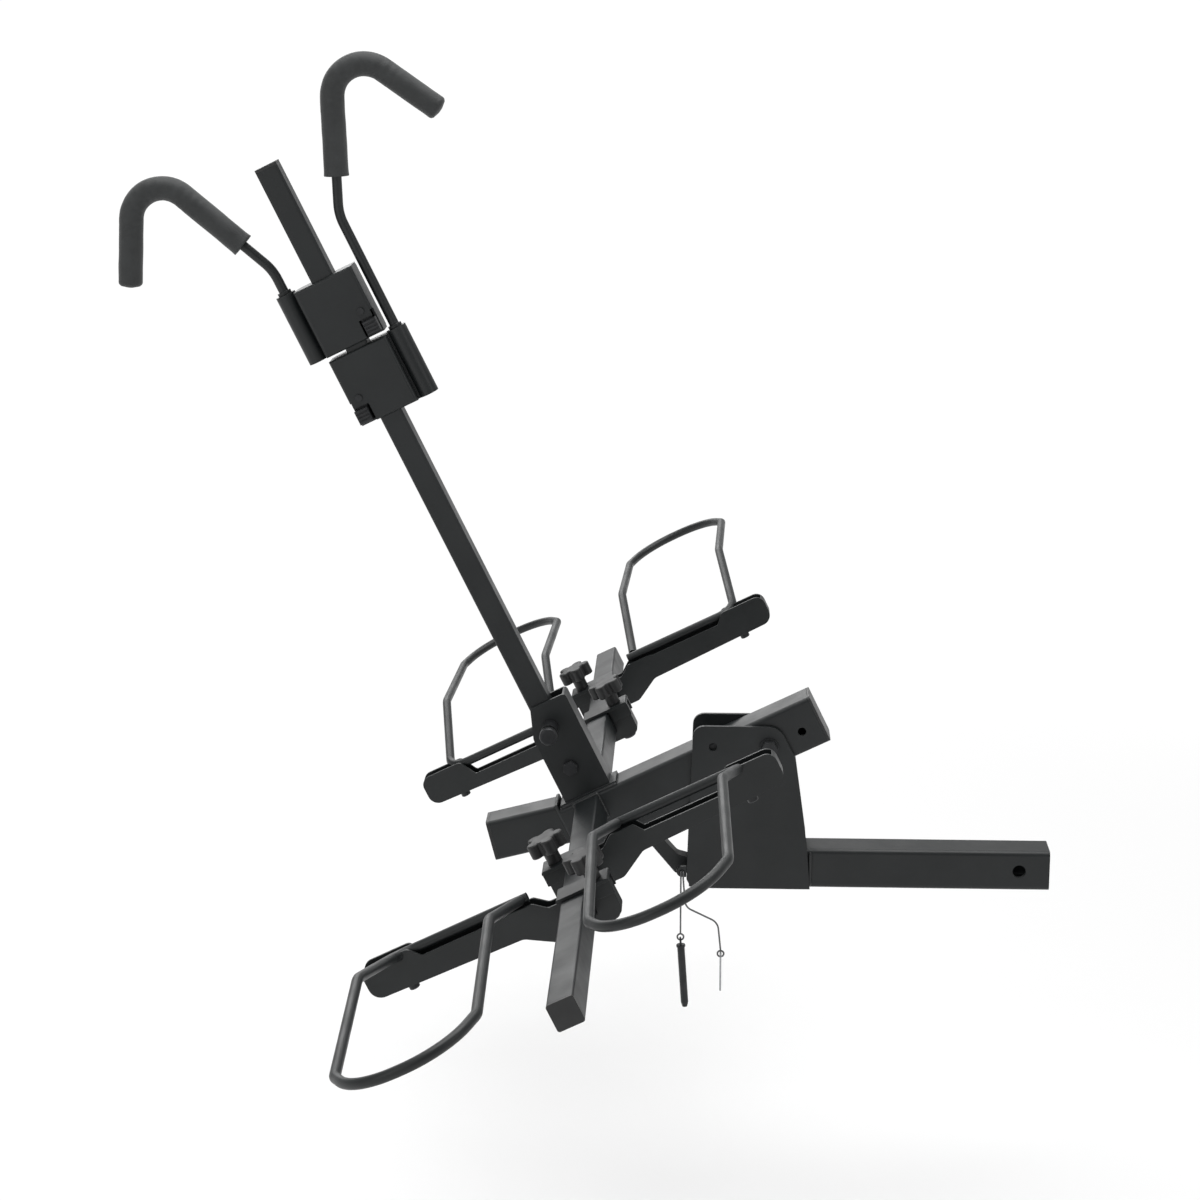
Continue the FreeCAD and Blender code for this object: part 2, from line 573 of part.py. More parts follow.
def hook_path(bend_w, low_w, start, tail_extra):
    """Rod's centre line from low_w up, or from a place along the hook's leg if start is given."""
    lean = math.radians(HOOK_LEAN)
    fall = math.radians(TAIL_LEAN)
    tangent = HOOK_R * math.tan((math.pi - lean - fall) / 2)
    leg = Vector(math.sin(lean), 0, math.cos(lean))
    tail = Vector(math.sin(fall), 0, -math.cos(fall))
    bend = Vector(SOCKET_U, 0, bend_w)
    peak = bend + leg * (HOOK_LEG + tangent)
    end = peak + tail * (tangent + HOOK_TAIL + tail_extra)
    if start is None:
        return [Vector(SOCKET_U, 0, low_w), bend, peak, end], [0, 60.0, HOOK_R, 0]
    return [bend + leg * start, peak, end], [0, HOOK_R, 0]


def hook_rod(bottom, bend_w):
    points, radii = hook_path(bend_w, bottom + 2.0, None, 0.0)
    rod = round_bar([tuple(p) for p in points], radii, ROD_R)
    top = bottom + BLOCK_H + 2.0
    collar = cylinder_z(8.5, SOCKET_U, 0, (top + 0.15, top + 4.0))
    return rod.fuse(collar).removeSplitter()


def hook_nut(bottom):
    """Round nut on the rod's lower end, in the socket's pocket."""
    ring = cylinder_z(NUT_R, SOCKET_U, 0, (bottom + 4.0, bottom + NUT_POCKET - 0.2))
    ring = ring.makeFillet(1.0, [e for e in ring.Edges if e.Length > 40.0])
    return ring.cut(cylinder_z(ROD_R + 0.05, SOCKET_U, 0, (bottom, bottom + NUT_POCKET)))


def hook_foam(bend_w):
    """Foam sleeve over the hook, closed over the rod's end."""
    points, radii = hook_path(bend_w, 0, FOAM_START, 4.0)
    sleeve = round_bar([tuple(p) for p in points], radii, FOAM_R)
    inner, inner_radii = hook_path(bend_w, 0, FOAM_START - 5.0, 0.0)
    core = round_bar([tuple(p) for p in inner], inner_radii, ROD_R + 0.05)
    return sleeve.cut(core)


# ---- wheel holders: drawn with the tray towards +u and the hoop towards +y ----------------------
TRAY_BEND = 74.0            # where the underside starts to rise towards the outer end
STUD_SEAT = TRAY_LOW + (STUD_U - TRAY_BEND) * (TRAY_LIP - TRAY_LOW) / (TRAY_END - TRAY_BEND)
STUD_GAP = 0.3              # leaves room for the underside's slope under a flat head or nut


EAR_IN = (32.0, 47.0, 77.0, 86.0)        # ear beside the hoop's inner leg: foot, top, top, foot
EAR_OUT = (188.0, 201.0)                  # where the side rises to the outer end


def wheel_tray(middle):
    """Channel folded up from sheet; its tail is notched over the cross-tube, and its side for the hoop."""
    notch = CROSS / 2 + 0.3
    seat = -CROSS / 2 - 0.2
    outline = [(TAIL_END, TAIL_LOW, 9), (40.0, TAIL_LOW, 14), (TRAY_BEND, TRAY_LOW, 14), (TRAY_END, TRAY_LIP, 15),
               (TRAY_END, TRAY_TIP, 13), (EAR_OUT[1], TRAY_TIP, 8), (EAR_OUT[0], middle, 5),
               (EAR_IN[3], middle, 2), (EAR_IN[2], TRAY_EAR, 2), (EAR_IN[1], TRAY_EAR, 6),
               (EAR_IN[0], TAIL_HIGH, 6), (notch, TAIL_HIGH, 0),
               (notch, seat, 1), (-notch, seat, 1), (-notch, TAIL_HIGH, 0), (TAIL_END, TAIL_HIGH, 6)]
    solid = profile(outline, (-TRAY_HALF, TRAY_HALF))
    inner = TRAY_HALF - TRAY_SHEET
    sheet = TRAY_SHEET
    hollow = [(TAIL_END + sheet, TAIL_LOW + sheet, 6), (39.0, TAIL_LOW + sheet, 14),
              (TRAY_BEND - 1.0, TRAY_LOW + sheet, 14), (TRAY_END - sheet, TRAY_LIP + sheet, 12),
              (TRAY_END - sheet, TRAY_EAR + 30.0, 0), (TAIL_END + sheet, TRAY_EAR + 30.0, 0)]
    tray = solid.cut(profile(hollow, (-inner, inner))).cut(hoop_rod(HOOP_R + 0.15))
    tray = tray.cut(cylinder_z(4.2, CLAMP_U, 0, (TAIL_LOW - 1, TAIL_LOW + 5)))
    return tray.cut(cylinder_z(3.1, STUD_U, 0, (TRAY_LOW - 1, TRAY_LOW + 12)))


def hoop_rod(radius):
    """One bent rod: a straight run in the tray's mouth, and a loop that carries the wheel."""
    run_w = TRAY_EAR + HOOP_R + GAP
    bend_y, bend_w = HOOP_BEND
    corner_y, corner_w = HOOP_CORNER
    rise = (bend_w - run_w) / bend_y
    points = [(HOOP_IN - 9.0, 0, run_w), (HOOP_OUT, 0, run_w), (HOOP_OUT, bend_y, bend_w),
              (HOOP_OUT, corner_y, corner_w), (HOOP_OUT - HOOP_SLANT, HOOP_END, corner_w),
              (HOOP_IN + HOOP_SLANT, HOOP_END, corner_w), (HOOP_IN, corner_y, corner_w),
              (HOOP_IN, bend_y, bend_w), (HOOP_IN, HOOP_R, run_w + HOOP_R * rise)]
    return round_bar(points, [0, 24.0, 55.0, 22.0, 75.0, 75.0, 22.0, 55.0, 0], radius)


JAW_LOW = CROSS / 2 + 0.25
JAW = 4.0


def clamp_jaw():
    """Plate that the knob pulls down on the cross-tube."""
    high = JAW_LOW + JAW
    plate = profile([(-46.0, JAW_LOW, 0), (20.0, JAW_LOW, 0), (20.0, high, 2.5), (-46.0, high, 2.5)], (-19.0, 19.0))
    for y in ((-16.0, -TRAY_HALF - 0.3), (TRAY_HALF + 0.3, 16.0)):
        plate = plate.fuse(box((-46.0, -CROSS / 2 - 2.0), y, (0.0, JAW_LOW + 1.0)))
    plate = plate.removeSplitter()
    return plate.cut(cylinder_z(4.3, CLAMP_U, 0, (0, high + 1)))


KNOB_SEAT = JAW_LOW + JAW + 0.3
KNOB_LOW = 36.0
KNOB_HIGH = 54.0
KNOB_R = 24.0


def holder_bolts():
    """Clamp bolt with a round head, and the strap stud with its nut."""
    head = cylinder_z(9.0, CLAMP_U, 0, (TAIL_LOW - GAP - 4.5, TAIL_LOW - GAP))
    head = head.makeFillet(3.0, [e for e in head.Edges if abs(e.CenterOfMass.z - TAIL_LOW + GAP + 4.5) < 0.01])
    bolt = head.fuse(cylinder_z(4.0, CLAMP_U, 0, (TAIL_LOW - 1.0, KNOB_LOW + 6.0))).removeSplitter()
    low = STUD_SEAT - STUD_GAP
    stud_head = cylinder_z(6.5, STUD_U, 0, (low - 7.0, low))
    stud_head = stud_head.makeFillet(1.5, [e for e in stud_head.Edges if abs(e.CenterOfMass.z - low + 7.0) < 0.01])
    stud = stud_head.fuse(cylinder_z(3.0, STUD_U, 0, (low - 1.0, low + 14.0))).removeSplitter()
    seat = STUD_SEAT + TRAY_SHEET + STUD_GAP
    nut = turned(hexagon_y(10.0, 0, 0, 0, 5.0), (1, 0, 0), 90)
    nut = moved(nut, x=STUD_U, z=seat)
    nut = nut.cut(cylinder_z(3.05, STUD_U, 0, (seat - 1, seat + 8)))
    return [bolt, stud, nut]


def star_knob():
    """Five-lobed hand knob on a boss, drilled for the clamp bolt."""
    lobes = 5
    core = cylinder_z(KNOB_R * 0.68, CLAMP_U, 0, (KNOB_LOW, KNOB_HIGH))
    for i in range(lobes):
        angle = 2 * math.pi * i / lobes
        x = CLAMP_U + KNOB_R * 0.68 * math.cos(angle)
        y = KNOB_R * 0.68 * math.sin(angle)
        core = core.fuse(cylinder_z(KNOB_R * 0.32, x, y, (KNOB_LOW, KNOB_HIGH)))
    core = core.removeSplitter()
    rims = [e for e in core.Edges if abs(e.CenterOfMass.z - KNOB_HIGH) < 0.01 or abs(e.CenterOfMass.z - KNOB_LOW) < 0.01]
    core = core.makeFillet(2.0, rims)
    boss = cylinder_z(9.0, CLAMP_U, 0, (KNOB_SEAT, KNOB_LOW + 1.0))
    knob = core.fuse(boss).removeSplitter()
    return knob.cut(cylinder_z(4.1, CLAMP_U, 0, (0, KNOB_LOW + 7.0)))


def placed_in_holder(shape, y, side, out):
    if side < 0:
        shape = shape.mirror(Vector(), Vector(1, 0, 0))
    if out < 0:
        shape = shape.mirror(Vector(), Vector(0, 1, 0))
    return in_deck(moved(shape, y=y))


# ---- all the nodes ------------------------------------------------------------------------------
def build():
    nodes = {
        "hitch_shank": hitch_shank(),
        "upright_plate_right": upright_plate(-1),
        "upright_plate_left": upright_plate(1),
        "upright_web": upright_web(),
        "tether_lug": tether_lug(),
        "pivot_fasteners": pivot_fasteners(),
        "lock_pin": lock_pin(),
        "pin_tether": pin_tether(),
        "lock_clip": lock_clip(),
        "clip_tether": clip_tether(),
        "main_arm": main_arm(),
        "pivot_sleeve": pivot_sleeve(),
        "outer_stub": outer_stub(),
        "arm_plugs": arm_plugs(),
        "tilt_stop": tilt_stop(),
        "cross_tube": cross_tube(),
        "cross_plugs": cross_plugs(),
        "mast_bracket": mast_bracket(),
        "mast_fasteners": mast_fasteners(),
        "plunger_housing": plunger_housing(),
        "plunger_pin": plunger_pin(),
        "plunger_spring": plunger_spring(),
        "mast_tube": mast_tube(),
        "mast_bush": mast_bush(),
        "mast_cap": mast_cap(),
    }
    for name, bottom, side, bend_w in BLOCKS:
        def in_block(shapes):
            return Part.makeCompound([in_deck(to_side(moved(s, z=bottom), side)) for s in shapes])
        nodes[name + "_block_body"] = in_block([block_body()])
        nodes[name + "_block_cover"] = in_block([block_cover()])
        nodes[name + "_fasteners"] = in_block(block_fasteners())
        nodes[name + "_lever"] = in_block([block_lever()])
        nodes[name + "_hook_rod"] = in_deck(to_side(hook_rod(bottom, bend_w), side))
        nodes[name + "_hook_nut"] = in_deck(to_side(hook_nut(bottom), side))
        nodes[name + "_hook_foam"] = in_deck(to_side(hook_foam(bend_w), side))
    for name, y, side, out in HOLDERS:
        pieces = {"_tray": [wheel_tray(TRAY_MID if side * out < 0 else TRAY_MID_HIGH)], "_hoop": [hoop_rod(HOOP_R)], "_jaw": [clamp_jaw()],
                  "_bolts": holder_bolts(), "_knob": [star_knob()]}
        for ending, shapes in pieces.items():
            placed = [placed_in_holder(s, y, side, out) for s in shapes]
            nodes[name + ending] = Part.makeCompound(placed)
    return nodes


os.makedirs("parts", exist_ok=True)
for node, shape in build().items():
    for solid in shape.Solids:
        if not solid.isValid():
            print("not valid:", node)
    if not shape.Solids:
        print("no solid:", node)
    shape.exportStep("parts/" + node + ".step")
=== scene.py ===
import json
import math

import bmesh
import bpy
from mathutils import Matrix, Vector, noise


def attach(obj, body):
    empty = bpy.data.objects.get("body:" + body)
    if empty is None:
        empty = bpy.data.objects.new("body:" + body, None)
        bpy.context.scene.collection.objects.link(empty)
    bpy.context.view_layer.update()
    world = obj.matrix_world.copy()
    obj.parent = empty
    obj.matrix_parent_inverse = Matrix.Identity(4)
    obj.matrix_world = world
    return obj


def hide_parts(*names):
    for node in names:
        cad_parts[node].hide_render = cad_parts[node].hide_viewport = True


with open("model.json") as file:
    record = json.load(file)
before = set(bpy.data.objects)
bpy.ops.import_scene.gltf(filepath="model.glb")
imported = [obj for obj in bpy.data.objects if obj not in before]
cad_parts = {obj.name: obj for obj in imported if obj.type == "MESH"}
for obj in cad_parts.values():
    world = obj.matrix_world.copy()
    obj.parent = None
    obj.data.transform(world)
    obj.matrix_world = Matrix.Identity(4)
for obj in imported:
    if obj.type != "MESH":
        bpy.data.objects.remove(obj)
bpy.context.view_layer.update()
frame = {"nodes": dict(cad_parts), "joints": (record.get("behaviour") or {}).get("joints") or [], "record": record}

MM = 0.001

# ---- where things are: the deck's frame, from the record's joints --------------------------------
# u runs along the arm towards the vehicle, y across it, w square to it and upwards.
JOINTS = {joint["name"]: joint for joint in frame["joints"]}
ACROSS = Vector((0, 1, 0))
DECK_UP = Vector(JOINTS["upper_block_slide"]["axis"]).normalized()
DECK_ALONG = ACROSS.cross(DECK_UP)
MAST_PIVOT_W = 60 * MM
DECK_ORIGIN = Vector(JOINTS["mast_fold"]["pos_m"]) - MAST_PIVOT_W * DECK_UP

ARM_HALF = 25 * MM
ARM_TOP = 17 * MM
ARM_BOTTOM = -46 * MM
ARM_OUTER_END = -38 * MM
STUB_HALF_Y = 22.6 * MM
STUB_HALF_W = 26.1 * MM
STUB_ROOT_W = -3.8 * MM
CROSS_HALF = 15.9 * MM
FLANGE_HALF = 21.6 * MM
FLANGE_ENDS = (-33 * MM, 44 * MM)
SHANK_HALF = 25.4 * MM
PLATE_EDGE_X = -262 * MM     # where the upright's plates end on the shank
SHANK_FLAT = 22 * MM         # half height of the shank's flat side
STOP_ENDS = (38 * MM, 54 * MM)
STOP_HALF = 10 * MM

# ---- what the foam sleeves cover -----------------------------------------------------------------
HOOK_R = 39 * MM             # bend of the hook
HOOK_LEG = 138 * MM
HOOK_TAIL = 79 * MM
HOOK_LEAN = math.radians(24)
TAIL_LEAN = math.radians(29)
FOAM_START = 46 * MM
TAIL_EXTRA = 4 * MM          # foam past the rod's end
NOSE = 8 * MM                # length of the sleeve's rounded nose
SLEEVE_LENGTH = 0.33         # near enough, to place the nose
FOAM_R = 15 * MM


def deck(u, y, w):
    """World place of a deck point."""
    return DECK_ORIGIN + u * DECK_ALONG + y * ACROSS + w * DECK_UP


# ---- materials -----------------------------------------------------------------------------------
class Shader:
    """A material's node tree, with short ways to add and join nodes."""

    def __init__(self, name):
        self.material = bpy.data.materials.new(name)
        self.material.use_nodes = True
        self.tree = self.material.node_tree
        self.surface = self.tree.nodes["Principled BSDF"]
        self.place = self.node("ShaderNodeTexCoord").outputs["Object"]

    def node(self, kind, **settings):
        made = self.tree.nodes.new(kind)
        for key, value in settings.items():
            setattr(made, key, value)
        return made

    def join(self, source, target):
        self.tree.links.new(source, target)

    def noise(self, scale, detail=2.0, roughness=0.5):
        made = self.node("ShaderNodeTexNoise")
        made.inputs["Scale"].default_value = scale
        made.inputs["Detail"].default_value = detail
        made.inputs["Roughness"].default_value = roughness
        self.join(self.place, made.inputs["Vector"])
        return made.outputs["Fac"]

    def ramp(self, source, low, high, to_low=0.0, to_high=1.0):
        made = self.node("ShaderNodeMapRange")
        for key, value in (("From Min", low), ("From Max", high), ("To Min", to_low), ("To Max", to_high)):
            made.inputs[key].default_value = value
        self.join(source, made.inputs["Value"])
        return made.outputs["Result"]

    def maths(self, operation, first, second):
        made = self.node("ShaderNodeMath", operation=operation)
        for slot, value in enumerate((first, second)):
            if isinstance(value, (int, float)):
                made.inputs[slot].default_value = value
            else:
                self.join(value, made.inputs[slot])
        return made.outputs["Value"]

    def mix(self, amount, first, second):
        """Mixes two colours by an amount from 0 to 1."""
        made = self.node("ShaderNodeMix", data_type="RGBA")
        self.join(amount, made.inputs["Factor"])
        for slot, value in (("A", first), ("B", second)):
            target = [i for i in made.inputs if i.name == slot and i.type == "RGBA"][0]
            if isinstance(value, tuple):
                target.default_value = (*value, 1.0)
            else:
                self.join(value, target)
        return [o for o in made.outputs if o.type == "RGBA"][0]

    def bump(self, height, distance, strength=1.0, under=None):
        made = self.node("ShaderNodeBump")
        made.inputs["Distance"].default_value = distance
        made.inputs["Strength"].default_value = strength
        self.join(height, made.inputs["Height"])
        if under is not None:
            self.join(under, made.inputs["Normal"])
        return made.outputs["Normal"]

    def soft_edges(self, radius):
        """Normal that rounds sharp edges off by a small radius."""
        made = self.node("ShaderNodeBevel", samples=6)
        made.inputs["Radius"].default_value = radius
        return made.outputs["Normal"]

    def edge_mask(self, rounded):
        """1 on an edge that has been rounded off, 0 on flat faces."""
        flat = self.node("ShaderNodeNewGeometry").outputs["Normal"]
        made = self.node("ShaderNodeVectorMath", operation="DOT_PRODUCT")
        self.join(rounded, made.inputs[0])
        self.join(flat, made.inputs[1])
        return self.ramp(made.outputs["Value"], 0.998, 0.93)

    def set(self, **values):
        for key, value in values.items():
            target = self.surface.inputs[key.replace("_", " ").title().replace("Ior", "IOR")]
            if isinstance(value, tuple):
                target.default_value = (*value, 1.0)
            elif isinstance(value, (int, float)):
                target.default_value = value
            else:
                self.join(value, target)


def powder_coat(name, dark, light, worn, peel, roughness):
    """Satin powder coat: a fine orange-peel skin, faint patches, and paler rubbed edges."""
    shader = Shader(name)
    patches = shader.ramp(shader.noise(14.0, 4.0, 0.6), 0.35, 0.7)
    speckle = shader.ramp(shader.noise(2600.0, 1.0), 0.3, 0.75)
    colour = shader.mix(patches, dark, light)
    colour = shader.mix(shader.maths("MULTIPLY", speckle, 0.35), colour, tuple(1.7 * c for c in light))
    rounded = shader.soft_edges(0.9 * MM)
    scuffs = shader.ramp(shader.noise(75.0, 5.0, 0.65), 0.5, 0.72)
    rub = shader.maths("MULTIPLY", shader.edge_mask(rounded), scuffs)
    colour = shader.mix(shader.maths("MULTIPLY", rub, 0.5), colour, worn)
    skin = shader.bump(shader.noise(620.0, 2.0), peel, 0.5, rounded)
    skin = shader.bump(shader.noise(2400.0, 1.0), peel * 0.3, 0.5, skin)
    gloss = shader.ramp(shader.noise(22.0, 3.0), 0.3, 0.7, roughness - 0.05, roughness + 0.07)
    shader.set(base_color=colour, roughness=gloss, normal=skin, specular_ior_level=0.4)
    return shader.material


def moulded_plastic(name, dark, light, roughness):
    """Moulded plastic: fine spark-eroded grain and slight handling marks."""
    shader = Shader(name)
    handled = shader.ramp(shader.noise(38.0, 4.0, 0.6), 0.35, 0.7)
    rounded = shader.soft_edges(0.6 * MM)
    grain = shader.bump(shader.noise(1500.0, 3.0, 0.7), 0.06 * MM, 0.7, rounded)
    gloss = shader.ramp(shader.noise(60.0, 3.0), 0.3, 0.7, roughness - 0.06, roughness + 0.08)
    shader.set(base_color=shader.mix(handled, dark, light), roughness=gloss, normal=grain)
    return shader.material


def closed_cell_foam(name):
    """Foam sleeve: soft skin with fine pores whose pits carry painted shade, slightly shiny where it was pressed.
    """
    shader = Shader(name)
    cells = shader.node("ShaderNodeTexVoronoi", feature="F1")
    cells.inputs["Scale"].default_value = 900.0
    shader.join(shader.place, cells.inputs["Vector"])
    pores_and_shade = shader.ramp(cells.outputs["Distance"], 0.0, 0.55)
    waves = shader.noise(120.0, 3.0, 0.6)
    skin = shader.bump(waves, 0.5 * MM, 0.45)
    skin = shader.bump(pores_and_shade, 0.12 * MM, 0.6, skin)
    scuffs = shader.ramp(shader.noise(45.0, 5.0, 0.65), 0.42, 0.72)
    colour = shader.mix(scuffs, (0.014, 0.0158, 0.0162), (0.030, 0.0325, 0.033))
    # Pore pits painted darker: painted shade in the pores.
    colour = shader.mix(shader.ramp(pores_and_shade, 0.25, 0.0), colour, (0.006, 0.0066, 0.0070))
    gloss = shader.ramp(scuffs, 0.0, 1.0, 0.62, 0.78)
    shader.set(base_color=colour, roughness=gloss, normal=skin, sheen_weight=0.12, sheen_roughness=0.5)
    return shader.material


def plated_steel(name, tint, deep, roughness, metallic):
    """Plated steel: brushed streaks, tiny pits and duller patches."""
    shader = Shader(name)
    stretch = shader.node("ShaderNodeMapping")
    stretch.inputs["Scale"].default_value = (1.0, 14.0, 1.0)
    shader.join(shader.place, stretch.inputs["Vector"])
    streaks = shader.node("ShaderNodeTexNoise")
    streaks.inputs["Scale"].default_value = 260.0
    streaks.inputs["Detail"].default_value = 3.0
    shader.join(stretch.outputs["Vector"], streaks.inputs["Vector"])
    dull = shader.ramp(shader.noise(90.0, 4.0, 0.6), 0.35, 0.75)
    rounded = shader.soft_edges(0.5 * MM)
    skin = shader.bump(streaks.outputs["Fac"], 0.03 * MM, 0.5, rounded)
    gloss = shader.maths("ADD", shader.ramp(dull, 0.0, 1.0, roughness - 0.05, roughness + 0.12),
                         shader.ramp(streaks.outputs["Fac"], 0.3, 0.7, -0.04, 0.04))
    shader.set(base_color=shader.mix(dull, tint, deep), roughness=gloss, metallic=metallic, normal=skin)
    return shader.material


def covered_cable(name):
    """Vinyl-covered wire rope: the lay of the strands shows through as a shallow twist."""
    shader = Shader(name)
    lay = shader.node("ShaderNodeTexWave", wave_type="BANDS", bands_direction="DIAGONAL")
    lay.inputs["Scale"].default_value = 190.0
    shader.join(shader.place, lay.inputs["Vector"])
    skin = shader.bump(lay.outputs["Fac"], 0.15 * MM, 0.6)
    patches = shader.ramp(shader.noise(70.0, 3.0), 0.3, 0.7)
    colour = shader.mix(patches, (0.05, 0.052, 0.054), (0.11, 0.112, 0.115))
    shader.set(base_color=colour, roughness=0.32, normal=skin, coat_weight=0.4)
    return shader.material


def weld_metal(name):
    """Weld bead under paint: the same black, painted a little lighter on the spatter bumps' crests as a painted
    highlight.
    """
    shader = Shader(name)
    spatter_and_highlight = shader.noise(420.0, 4.0, 0.7)
    # Lighter where the spatter bumps stand highest: a painted highlight on their crests.
    colour = shader.mix(shader.ramp(spatter_and_highlight, 0.35, 0.7), (0.0070, 0.0085, 0.0088), (0.0130, 0.0150, 0.0155))
    skin = shader.bump(spatter_and_highlight, 0.12 * MM, 0.5)
    shader.set(base_color=colour, roughness=0.4, normal=skin)
    return shader.material


FINISHES = {
    "frame_paint": powder_coat("frame_paint_coat", (0.0052, 0.0065, 0.0070), (0.0085, 0.0104, 0.0110),
                               (0.075, 0.08, 0.08), 0.09 * MM, 0.42),
    "holder_paint": powder_coat("holder_paint_coat", (0.0055, 0.0069, 0.0073), (0.0090, 0.0110, 0.0114),
                                (0.08, 0.085, 0.085), 0.09 * MM, 0.42),
    "cover_paint": powder_coat("cover_paint_coat", (0.011, 0.0135, 0.0137), (0.017, 0.0205, 0.0205),
                               (0.09, 0.095, 0.095), 0.07 * MM, 0.45),
    "black_hardware": plated_steel("black_hardware_plating", (0.022, 0.023, 0.025),
                                   (0.012, 0.013, 0.014), 0.38, 0.4),
    "steel": plated_steel("bright_steel_plating", (0.42, 0.43, 0.44), (0.28, 0.29, 0.30), 0.36, 1.0),
    "nylon": moulded_plastic("nylon_moulding", (0.55, 0.55, 0.50), (0.66, 0.66, 0.61), 0.45),
    "black_plastic": moulded_plastic("black_plastic_moulding", (0.0085, 0.0088, 0.0092),
                                     (0.0140, 0.0146, 0.0150), 0.46),
    "cable_cover": covered_cable("cable_cover_vinyl"),
    "foam": closed_cell_foam("foam_sleeve_skin"),
}
WELD = weld_metal("painted_weld")


def finish_cad_nodes():
    slot_of = {part["node"]: part["material_slot"] for part in frame["record"]["subparts"]}
    for name, node in frame["nodes"].items():
        finish = FINISHES[slot_of[name]]
        if not node.material_slots:
            node.data.materials.append(finish)
        for slot in node.material_slots:
            slot.material = finish


# ---- building pieces -----------------------------------------------------------------------------
def new_piece(name, mesh, body, material):
    made = bpy.data.meshes.new(name)
    mesh.normal_update()
    mesh.to_mesh(made)
    mesh.free()
    for face in made.polygons:
        face.use_smooth = True
    piece = bpy.data.objects.new(name, made)
    bpy.context.scene.collection.objects.link(piece)
    made.materials.append(material)
    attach(piece, body)
    return piece


def resampled(points, step):
    """Evenly spaced points along a line of points."""
    made = []
    for start, end in zip(points, points[1:]):
        count = max(1, round((end - start).length / step))
        made += [start.lerp(end, i / count) for i in range(count)]
    return made + [points[-1]]


def swept_tube(path, radius_at, sides, side_axis):
    """Closed tube along a path; radius_at(place along the path from 0 to 1, angle) gives its skin."""
    mesh = bmesh.new()
    rings = []
    last = len(path) - 1
    for i, centre in enumerate(path):
        ahead = (path[min(i + 1, last)] - path[max(i - 1, 0)]).normalized()
        across = (side_axis - side_axis.dot(ahead) * ahead).normalized()
        upward = ahead.cross(across)
        ring = []
        for k in range(sides):
            angle = 2 * math.pi * k / sides
            out = across * math.cos(angle) + upward * math.sin(angle)
            ring.append(mesh.verts.new(centre + out * radius_at(i / last, angle)))
        rings.append(ring)
    for low, high in zip(rings, rings[1:]):
        for k in range(sides):
            mesh.faces.new((low[k], low[(k + 1) % sides], high[(k + 1) % sides], high[k]))
    mesh.faces.new(reversed(rings[0]))
    mesh.faces.new(rings[-1])
    return mesh


# ---- weld beads ----------------------------------------------------------------------------------
RIPPLE = 2.6 * MM            # length of one ripple
BEAD_STEP = 0.65 * MM        # how finely a bead is stepped
BEAD_R = 2.6 * MM
FLANGE_BEAD_R = 2.2 * MM
STOP_BEAD_R = 2.0 * MM
UPRIGHT_BEAD_R = 2.8 * MM


def weld_bead(name, body, corners, radius, closed=False):
    """Rippled bead laid along straight runs between corners."""
    if closed:
        corners = corners + [corners[0]]
    path = resampled(corners, BEAD_STEP)
    length = sum((b - a).length for a, b in zip(path, path[1:]))
    taper = 0.0 if closed else 3.0 * MM / length

    def radius_at(along, angle):
        wander = noise.noise(Vector((along * length / (9 * MM), radius / MM, len(name))))
        ripple = abs(math.sin(math.pi * (along * length / RIPPLE + 0.18 * math.cos(angle))))
        end = 1.0 if closed else min(1.0, (min(along, 1 - along) + 0.15 * taper) / taper)
        return radius * (0.84 + 0.16 * ripple + 0.10 * wander) * math.sqrt(max(end, 0.05))

    side_axis = (corners[1] - corners[0]).normalized().orthogonal()
    mesh = swept_tube(path, radius_at, 10, side_axis)
    piece = new_piece(name, mesh, body, WELD)


def rectangle(u, y, w):
    """Corners of a rectangle in the deck's frame; one of u, y and w is a single place."""
    if not isinstance(u, tuple):
        return [deck(u, y[a], w[b]) for a, b in ((0, 0), (1, 0), (1, 1), (0, 1))]
    return [deck(u[a], y, w[b]) for a, b in ((0, 0), (1, 0), (1, 1), (0, 1))]


def arm_welds():
    stub_w = (STUB_ROOT_W - STUB_HALF_W, STUB_ROOT_W + STUB_HALF_W)
    stub_outline = rectangle(ARM_OUTER_END, (-STUB_HALF_Y, STUB_HALF_Y), stub_w)
    weld_bead("stub_weld", "arm", stub_outline, BEAD_R, closed=True)
    for side, name in ((-1, "right"), (1, "left")):
        reach = CROSS_HALF + 0.3 * MM
        weld_bead("cross_weld_" + name, "arm",
                  rectangle((-reach, reach), side * ARM_HALF, (-reach, reach)), BEAD_R, closed=True)
        weld_bead("flange_weld_" + name, "arm",
                  [deck(u, side * FLANGE_HALF, ARM_TOP + 0.4 * MM) for u in FLANGE_ENDS], FLANGE_BEAD_R)
        weld_bead("stop_weld_" + name, "arm",
                  [deck(u, side * STOP_HALF, ARM_BOTTOM - 0.3 * MM) for u in STOP_ENDS], STOP_BEAD_R)


def upright_welds():
    for side, name in ((-1, "right"), (1, "left")):
        y = side * (SHANK_HALF + 0.5 * MM)
        corners = [Vector((PLATE_EDGE_X, y, z)) for z in (-SHANK_FLAT, SHANK_FLAT)]
        weld_bead("upright_weld_" + name, "hitch", corners, UPRIGHT_BEAD_R)


# ---- foam sleeves --------------------------------------------------------------------------------
HOOK_STEPS = 40
HOOK_STEP = 2.0 * MM


